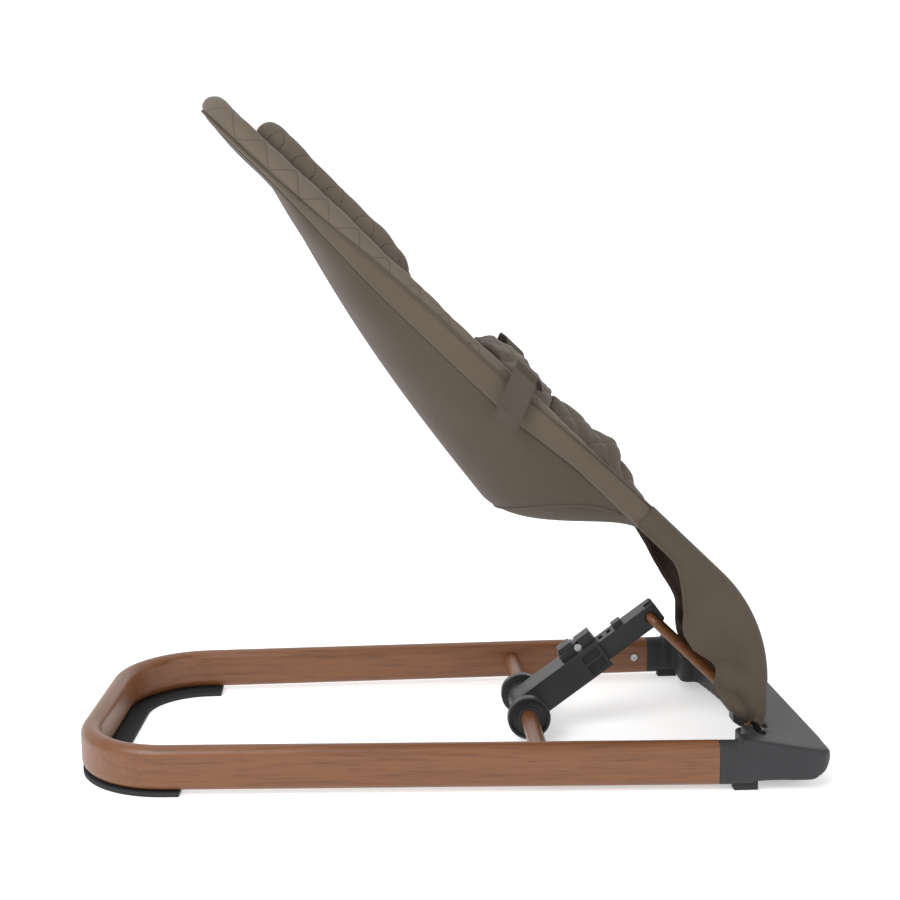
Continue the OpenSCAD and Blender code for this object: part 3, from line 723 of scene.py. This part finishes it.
rim = laid_grid("rim_pad", 36, 640, rim_place,
                lambda u, w: (abs(rim_map(u, w)[0]), rim_map(u, w)[2]))
thicken(rim, 0.0012, -1)
rim.data.materials.append(pad_cloth)
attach(rim, "seat")
print("rim pad:", tri_count(rim), "triangles")

# %% Corded seam
def piping_points(step=0.004):
    count = int(2 * RIM_RUN / step)
    points = []
    for i in range(count + 1):
        d = -RIM_RUN + 2 * RIM_RUN * i / count
        (s, _), _ = tube_line(d)
        turn = piping_turn(s) - 0.02
        points.append(near_tube(d, (PAD_R + 0.0002) * math.cos(turn),
                                (PAD_R + 0.0002) * math.sin(turn)))
    return points


piping = tube_along("piping", piping_points(), 0.0013)
piping.data.materials.append(piping_cloth)
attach(piping, "seat")
print("piping:", tri_count(piping), "triangles")

# %% [markdown]
# ## Quilted liner
# A thin wadded cover lies in the sling, from the knee to the head. Diamond stitching
# pulls it down along its lines and lets it puff between them. The puffs are real shape,
# so the grid is fine. It follows the sling's form a little above it.

# %% Quilted liner
LINER_START = 0.058
LINER_LIFT = 0.0045


def liner_base(c, r, s):
    """Height of the surface that lies on the sling."""
    hollow = max(0.0, belly(s) - 0.004)
    return -0.004 - hollow * (1 - abs(c) ** 2.4) * (1 - r ** 8)


def liner_place(u, w):
    c = 2 * u - 1
    s, v = cloth_place(c, w, LINER_START, 0.011)
    free = smooth(s, LINER_START + 0.012, LINER_START + 0.060)
    puff = 0.0050 * quilt_lift(s, v) * free
    return seat_point(s, v, liner_base(c, w, s) + (LINER_LIFT + 0.0035) * (0.2 + 0.8 * free) + puff)


liner = laid_grid("liner", 110, 260, liner_place,
                  lambda u, w: cloth_place(2 * u - 1, w, LINER_START, 0.011))
thicken(liner, 0.004, -1)
liner.data.materials.append(pad_cloth)
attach(liner, "seat")
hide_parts("quilted_liner")
print("liner:", tri_count(liner), "triangles")

# %% [markdown]
# ## Apron
# A curtain of the side cloth covers the front of both legs, and wraps round each leg as
# a loose flap. It is laid row by row down the legs: hem, flap, leg, front, leg, flap,
# hem. Soft folds run down it and its lower corners hang.

# %% Apron
APRON_TOP = 0.102
APRON_LOW = 0.0500
ARC_L = KNEE_R * KNEE_TURN
APRON_RUN = APRON_TOP + ARC_L + HINGE_Z + LEG_L - APRON_LOW
APRON_R = 0.0131
FRONT_SHARE, TURN_SHARE = 0.50, 0.62


def leg_line(q):
    """Middle of the leg at distance q down the apron, and its forward direction."""
    if q < APRON_TOP:
        turn = KNEE_TURN
        middle = Vector((KNEE_X, 0, KNEE_Z)) + UP_SEAT * (APRON_TOP - q)
    elif q < APRON_TOP + ARC_L:
        turn = KNEE_TURN - (q - APRON_TOP) / KNEE_R
        middle = Vector((HINGE_X - KNEE_R + KNEE_R * math.cos(turn), 0,
                         HINGE_Z + LEG_L + KNEE_R * math.sin(turn)))
    else:
        turn = 0.0
        middle = Vector((HINGE_X, 0, HINGE_Z + LEG_L - (q - APRON_TOP - ARC_L)))
    return middle, Vector((math.cos(turn), 0, math.sin(turn)))


def flap_depth(q, side):
    """How far the flap reaches behind the leg. The left one is the looser of the two."""
    loose = 0.048 * smooth(q, 0.048, 0.135) - 0.018 * smooth(q, 0.150, 0.200)
    loose -= 0.026 * smooth(q, 0.222, 0.268)
    return 0.0105 + loose * (1.0 if side < 0 else 0.35)


def apron_place(u, w):
    side, x = (1 if u > 0.5 else -1), abs(2 * u - 1)
    start = 0.042 * (1 - min(1.0, x / FRONT_SHARE) ** 2)
    q = start + w * (APRON_RUN - start)
    middle, forward = leg_line(q)
    fade = math.sin(math.pi * min(1.0, q / APRON_RUN))
    if x < FRONT_SHARE:
        v = x / FRONT_SHARE * LEG_Y
        inward = 1 - (x / FRONT_SHARE) ** 2
        out = APRON_R - 0.005 * fade * inward - 0.004 * inward * (1 - smooth(q, 0.04, 0.10))
        out += 0.0009 * math.sin(v * 120 + q * 26) * inward * fade
    elif x < TURN_SHARE:
        turn = (x - FRONT_SHARE) / (TURN_SHARE - FRONT_SHARE) * math.pi / 2
        v = LEG_Y + APRON_R * math.sin(turn)
        out = APRON_R * math.cos(turn)
    else:
        t = (x - TURN_SHARE) / (1 - TURN_SHARE)
        depth = flap_depth(q, side)
        loose = smooth(q, 0.05, 0.12) * smooth(t, 0.05, 0.5)
        low = smooth(q, 0.16, 0.24)
        v = LEG_Y + APRON_R - 0.0075 * t * smooth(q, 0.03, 0.09)
        v += loose * 0.0034 * math.sin(q * 62 - 2.6 * t + 0.6)
        v += loose * low * 0.0026 * math.sin(q * 170 + 4 * t)
        v -= 0.0030 * bump_at(t, 0.42 + 0.9 * (q - 0.2), 0.16) * smooth(q, 0.14, 0.2)
        v += 0.0016 * bump_at(t, 0.97, 0.05)
        out = -t * depth * (1 + 0.035 * math.sin(q * 88) * low)
        round_off = smooth(q, APRON_RUN - 0.020, APRON_RUN)
        v -= 0.006 * round_off
    round_off = smooth(q, APRON_RUN - 0.016, APRON_RUN) * smooth(x, FRONT_SHARE * 0.8, FRONT_SHARE)
    out *= 1 - 0.22 * round_off
    place = middle + forward * out
    return Vector((place.x, side * v, place.z))


apron = laid_grid("apron", 170, 150, apron_place,
                  lambda u, w: ((u - 0.5) * 0.46, w * APRON_RUN))
thicken(apron, 0.0020, -1)
apron.data.materials.append(side_cloth)
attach(apron, "seat")
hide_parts("front_apron")
print("apron:", tri_count(apron), "triangles")

# %% [markdown]
# ## Padded pieces
# A pad is two faces of cloth, sewn round the edge, with filling between. It starts as a
# grid that is given a thin filling, is remeshed into even squares, and is blown up a
# little by a short cloth simulation. The seams' pull and the pressure make the puffs.

# %% Pad helpers
def pad_slab(name, s0, s1, half, middle, thickness, across=26, along=34):
    """A flat pad bent to middle(s, v), half(t) wide at t from 0 to 1 along it."""
    def place(u, w):
        s = s0 + (s1 - s0) * w
        v = (2 * u - 1) * half(w)
        return seat_point(s, v, middle(s, v))
    pad = laid_grid(name, across, along, place)
    thicken(pad, thickness, 0)
    return pad


def puff_up(pad, voxel=0.0045, pressure=4.0, cap=0.006, frames=20):
    """Swells a pad with a short cloth simulation, and keeps every point within cap."""
    mesh = pad.modifiers.new("even", "REMESH")
    mesh.mode = "VOXEL"
    mesh.voxel_size = voxel
    apply_modifiers(pad)
    start = [corner.co.copy() for corner in pad.data.vertices]
    scene = bpy.context.scene
    scene.frame_set(1)
    cloth = pad.modifiers.new("cloth", "CLOTH")
    cloth.settings.quality = 6
    cloth.settings.mass = 0.15
    cloth.settings.tension_stiffness = 12
    cloth.settings.compression_stiffness = 12
    cloth.settings.bending_stiffness = 0.6
    cloth.settings.use_pressure = True
    cloth.settings.uniform_pressure_force = pressure
    cloth.settings.effector_weights.gravity = 0
    cloth.point_cache.frame_start = 1
    cloth.point_cache.frame_end = frames
    for frame_number in range(1, frames + 1):
        scene.frame_set(frame_number)
    apply_modifiers(pad)
    scene.frame_set(1)
    for corner, before in zip(pad.data.vertices, start):
        move = corner.co - before
        if move.length > cap:
            corner.co = before + move.normalized() * cap
    finer = pad.modifiers.new("finer", "SUBSURF")
    finer.levels = finer.render_levels = 1
    apply_modifiers(pad)
    for face in pad.data.polygons:
        face.use_smooth = True


def seat_ruler(place):
    """The distances (s, v) of a place on the seat's ruler."""
    return (place - Vector((KNEE_X, 0, KNEE_Z))).dot(UP_SEAT), place.y


def map_like_seat(piece):
    """Gives a remeshed piece a map in metres along and across the seat."""
    chart = piece.data.uv_layers.new(name="cloth")
    for loop in piece.data.loops:
        chart.data[loop.index].uv = seat_ruler(piece.data.vertices[loop.vertex_index].co)


def dimple(piece, pitch, depth):
    """Pulls a pad's upper face in along diamond stitching."""
    moves = []
    for corner in piece.data.vertices:
        lift = quilt_lift(*seat_ruler(corner.co), pitch)
        facing = max(0.0, corner.normal.dot(OUT_OF_SEAT) + 0.25) / 1.25
        moves.append(corner.normal * (depth * (lift - 0.8) * facing))
    for corner, move in zip(piece.data.vertices, moves):
        corner.co += move


print("pad helpers ready")

# %% [markdown]
# ## Inlay for a newborn
# A softer, thicker pad lies in the seat's hollow. Its sides rise into two bolsters, and
# an elastic gathers them into puckers near the waist.

# %% Inlay
def between_wings(s, v, floor, crest, inner, outer):
    """Height of a pad that lies at floor and rises to crest along both sides."""
    rise = smooth(abs(v), inner, inner + 0.026)
    fall = 1 - 0.75 * smooth(abs(v), outer - 0.018, outer)
    return floor + (crest - floor) * rise * fall


LINER_END = 0.680


def liner_under(s, v):
    """Height of the liner's face below a pad at (s, v)."""
    c = max(-1.0, min(1.0, v / LEG_Y))
    r = (s - LINER_START) / (LINER_END - LINER_START)
    return liner_base(c, max(0.0, r), s)


def inlay_middle(s, v):
    floor = liner_under(s, v) + 0.0170
    crest = max(floor, -0.034 + 0.043 * smooth(s, 0.13, 0.31) - 0.012 * smooth(s, 0.43, 0.455))
    side = smooth(abs(v), 0.055, 0.090)
    near_waist = smooth(s, 0.22, 0.28) * smooth(s, 0.46, 0.40)
    gather = 0.0026 * math.sin(s * 230 + 9 * v) * side * near_waist
    return between_wings(s, v, floor, crest, 0.058, 0.112) + gather


inlay = pad_slab("inlay", 0.118, 0.440,
                 lambda t: 0.110 - 0.030 * (1 - smooth(t, 0.0, 0.25)),
                 inlay_middle, 0.008, 44, 60)
puff_up(inlay, 0.0050, 4.0, 0.005)
map_like_seat(inlay)
dimple(inlay, 0.033, 0.003)
inlay.data.materials.append(inlay_cloth)
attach(inlay, "seat")
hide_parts("newborn_inlay")
print("inlay:", tri_count(inlay), "triangles")

# %% [markdown]
# ## Head support
# A second pad lies in the upper half of the seat. Two rounded wings stand along its
# sides and keep a small head from rolling. In a side view the wings show above the rim.

# %% Head support
HEAD_S0, HEAD_S1 = 0.438, 0.652


def head_middle(s, v):
    floor = liner_under(s, v) + 0.0165
    end = min(1.0, max(0.0, (s - 0.626) / 0.028))
    crest = 0.0150 * smooth(s, 0.425, 0.480) * math.sqrt(max(0.0, 1 - end * end * 0.8))
    return between_wings(s, v, floor, crest, 0.052, 0.112)


WING_V, WING_R, WING_END = 0.0985, 0.0155, 0.6575
WING_TOP = ((0.434, 0.0135), (0.448, 0.0200), (0.470, 0.0275), (0.500, 0.0310),
            (0.560, 0.0315), (0.610, 0.0335), (0.640, 0.0345), (0.660, 0.0340))


def wing_top(s):
    """Height of a wing's ridge, read along WING_TOP."""
    for (s0, h0), (s1, h1) in zip(WING_TOP, WING_TOP[1:]):
        if s <= s1:
            return h0 + (h1 - h0) * smooth(s, s0, s1)
    return WING_TOP[-1][1]


def make_wing(side, name):
    """A stuffed roll with round ends, pinched a little by its stitching."""
    s0, s1, steps = WING_TOP[0][0], WING_END, 90
    points, radii = [], []
    for i in range(steps + 1):
        s = s0 + (s1 - s0) * (0.5 - 0.5 * math.cos(math.pi * i / steps))
        tip = max(0.0, 1 - (s1 - s) / WING_R)
        foot = max(0.0, 1 - (s - s0) / 0.035)
        size = WING_R * math.sqrt(max(0.003, 1 - tip ** 2)) * math.sqrt(max(0.02, 1 - foot ** 2))
        v = WING_V - 0.010 * smooth(s, 0.61, 0.66) + 0.0015 * math.sin(s * 55)
        points.append(seat_point(s, side * v, wing_top(s) - WING_R))
        radii.append(size * (1 + 0.022 * math.sin(s * 95 + side)))
    wing = tube_along(name, points, radii, 36)
    map_like_seat(wing)
    dimple(wing, QUILT_PITCH, 0.0009)
    wing.data.materials.append(wing_cloth)
    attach(wing, "seat")
    return wing


wings = [make_wing(side, name) for side, name in ((1, "head_wing_right"), (-1, "head_wing_left"))]
print("wings:", sum(tri_count(wing) for wing in wings), "triangles")

head = pad_slab("head_support", HEAD_S0, HEAD_S1,
                lambda t: 0.106 - 0.022 * smooth(t, 0.82, 1.0) - 0.006 * (1 - smooth(t, 0, 0.2)),
                head_middle, 0.008, 48, 44)
puff_up(head, 0.0048, 4.0, 0.004)
map_like_seat(head)
dimple(head, QUILT_PITCH, 0.003)
head.data.materials.append(pad_cloth)
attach(head, "seat")
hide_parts("head_support")
print("head support:", tri_count(head), "triangles")

# %% [markdown]
# ## Harness
# A padded strap comes up between the legs and meets a padded band across the waist.
# Both are small pads, so they get the same treatment. Webbing runs from the band over
# the rim on each side, folds over and ends in a sewn tab.

# %% Crotch pad and waist band
def crotch_middle(s, v):
    crown = 0.011 + 0.021 * smooth(s, 0.084, 0.150) - 0.004 * smooth(s, 0.17, 0.24)
    crown += 0.0045 * bump_at(s, 0.149, 0.010) - 0.003 * bump_at(s, 0.128, 0.006)
    crown += 0.0030 * bump_at(s, 0.108, 0.007) - 0.0025 * bump_at(s, 0.178, 0.006)
    return crown - 15.0 * smooth(s, 0.08, 0.12) * v * v


def band_middle(s, v):
    crown = 0.0245 + 0.005 * bump_at(s, 0.294, 0.020) - 0.013 * smooth(s, 0.322, 0.350)
    gather = 0.0020 * math.sin(s * 290 + 26 * v) * (1 - 0.5 * smooth(abs(v), 0.05, 0.09))
    return crown + gather - 1.1 * v * v - 0.010 * smooth(abs(v), 0.070, 0.098)


crotch = pad_slab("crotch_pad", 0.082, 0.236, lambda t: 0.036 + 0.011 * smooth(t, 0.1, 0.9),
                  crotch_middle, 0.008, 30, 40)
puff_up(crotch, 0.0040, 4.0, 0.005)
band = pad_slab("waist_band", 0.240, 0.342, lambda t: 0.099 - 0.030 * smooth(t, 0.45, 1.0),
                band_middle, 0.007, 56, 30)
puff_up(band, 0.0040, 4.0, 0.004)
for pad, node, slot in ((crotch, "crotch_pad", "fabric_pad"), (band, "waist_band", "fabric_body")):
    map_like_seat(pad)
    dimple(pad, 0.046, 0.0030)
    pad.data.materials.append(harness_cloth)
    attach(pad, "seat")
    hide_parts(node)
    print(pad.name, tri_count(pad), "triangles")

# %% Waist straps
STRAP_S, STRAP_W = 0.2785, 0.030
STRAP_LEAN = 0.38
LEAN_FROM = -0.016
TIGHT = ((0.072, 0.0255), (0.098, 0.0215), (0.125, 0.0225), (0.1410, 0.0270),
         (0.1490, 0.0275), (0.1530, 0.0205), (0.1545, 0.0060), (0.1545, -0.0140),
         (0.1530, -0.0290))
SLACK = ((0.072, 0.0255), (0.098, 0.0235), (0.118, 0.0310), (0.1300, 0.0440),
         (0.1440, 0.0430), (0.1530, 0.0260), (0.1545, 0.0060), (0.1545, -0.0140),
         (0.1530, -0.0290))


def strap_path(t, stops):
    """(v, h) along one strap, t from 0 at the band to 1 at the tab's end."""
    x = t * (len(stops) - 1)
    i = min(len(stops) - 2, int(x))
    (v0, h0), (v1, h1) = stops[i], stops[i + 1]
    f = x - i
    return v0 + (v1 - v0) * f, h0 + (h1 - h0) * f


def strap_point(across, v, h, share=1.0):
    """A point of a strap that leans up the seat as it rises."""
    return seat_point(STRAP_S + STRAP_LEAN * (h - LEAN_FROM) * share + across, v, h)


def make_strap(side, name, node, stops):
    def place(u, w):
        v, h = strap_path(w, stops)
        return strap_point((u - 0.5) * STRAP_W, side * v, h, smooth(w, 0.2, 0.5))
    strap = laid_grid(name, 10, 80, place, lambda u, w: (w * 0.135, u * STRAP_W))
    soften = strap.modifiers.new("soften", "SMOOTH")
    soften.iterations = 4
    apply_modifiers(strap)
    thicken(strap, 0.0018, 0)
    strap.data.materials.append(strap_web)
    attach(strap, "seat")
    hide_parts(node)
    print(name, tri_count(strap), "triangles")


def make_tab(side, name):
    """The strap's end, folded on itself and sewn."""
    def place(u, w):
        h = -0.0155 - 0.0135 * w
        v = 0.1562 - 0.0016 * w
        return strap_point((u - 0.5) * (STRAP_W + 0.0012), side * v, h)
    tab = laid_grid(name, 8, 6, place, lambda u, w: (w * 0.014, u * STRAP_W))
    thicken(tab, 0.0028, 0)
    tab.data.materials.append(strap_web)
    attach(tab, "seat")


def make_fold(side, name):
    """The strap's loose outer layer. Its top edge stands off and leaves a dark slot."""
    def place(u, w):
        h = 0.0215 - 0.0375 * w
        v = 0.1568 + 0.0026 * smooth(h, -0.004, 0.021)
        return strap_point((u - 0.5) * STRAP_W, side * v, h)
    fold = laid_grid(name, 10, 24, place, lambda u, w: (w * 0.038, u * STRAP_W))
    thicken(fold, 0.0016, 0)
    fold.data.materials.append(strap_web)
    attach(fold, "seat")


for side, word in ((1, "right"), (-1, "left")):
    make_tab(side, "strap_tab_" + word)
for side, word in ((1, "right"), (-1, "left")):
    make_fold(side, "strap_fold_" + word)
make_strap(1, "strap_right", "waist_strap_right", SLACK)
make_strap(-1, "strap_left", "waist_strap_left", TIGHT)

# %% [markdown]
# ## Cloth facts
# The sling and the apron are sheets: each was cut flat from a roll. The flat size is
# the length along the cloth, so it is longer than the frame it hangs on.

def cloth_area(piece):
    return sum(face.area for face in piece.data.polygons) / 2


print("sling area", round(cloth_area(sling), 4), "apron area", round(cloth_area(apron), 4))

# %% [markdown]
# ## Studio
# A pale floor that turns up into a pale wall, and large soft lights from above and both
# sides, as for a catalogue. Nothing in the room has an edge that could show.

# %% Studio
def make_floor():
    shape = bmesh.new()
    bmesh.ops.create_grid(shape, x_segments=8, y_segments=48, size=0.5)
    for corner in shape.verts:
        x, y = corner.co.x * 14, (corner.co.y + 0.5) * 9
        flat = 5.0
        if y < flat:
            corner.co = (x, y - 3.0, 0)
        else:
            turn = (y - flat) / 4.0 * math.pi / 2
            corner.co = (x, flat - 3.0 + 2.6 * math.sin(turn), 2.6 * (1 - math.cos(turn)) * 1.6)
    floor = to_piece("floor", shape)
    paint = Finish("floor_paint", 0.8, Emission_Color=(1, 1, 1, 1), Emission_Strength=0.42)
    paint.colour(paint.ramp(paint.noise(paint.place(), 2), (0.3, 0.86), (0.7, 0.89)))
    floor.data.materials.append(paint.material)


def soft_light(name, place, aim, size, power):
    lamp = bpy.data.lights.new(name, "AREA")
    lamp.shape = "RECTANGLE"
    lamp.size, lamp.size_y = size
    lamp.energy = power
    light = bpy.data.objects.new(name, lamp)
    light.matrix_world = Matrix.Translation(place) @ (
        Vector(place) - Vector(aim)).to_track_quat("Z", "Y").to_matrix().to_4x4()
    bpy.context.scene.collection.objects.link(light)


make_floor()
soft_light("key", (-1.5, -1.7, 2.0), (0, 0, 0.2), (1.6, 1.4), 50)
soft_light("fill", (1.6, -2.0, 0.9), (0.1, 0, 0.2), (1.8, 1.4), 16)
soft_light("top", (-0.4, 0.8, 2.8), (0, 0, 0.2), (2.2, 1.8), 14)
world = bpy.data.worlds.new("studio")
bpy.context.scene.world = world
world.use_nodes = True
world.node_tree.nodes["Background"].inputs["Color"].default_value = (1, 1, 1, 1)
world.node_tree.nodes["Background"].inputs["Strength"].default_value = 0.62
bpy.context.scene.view_settings.view_transform = "Standard"
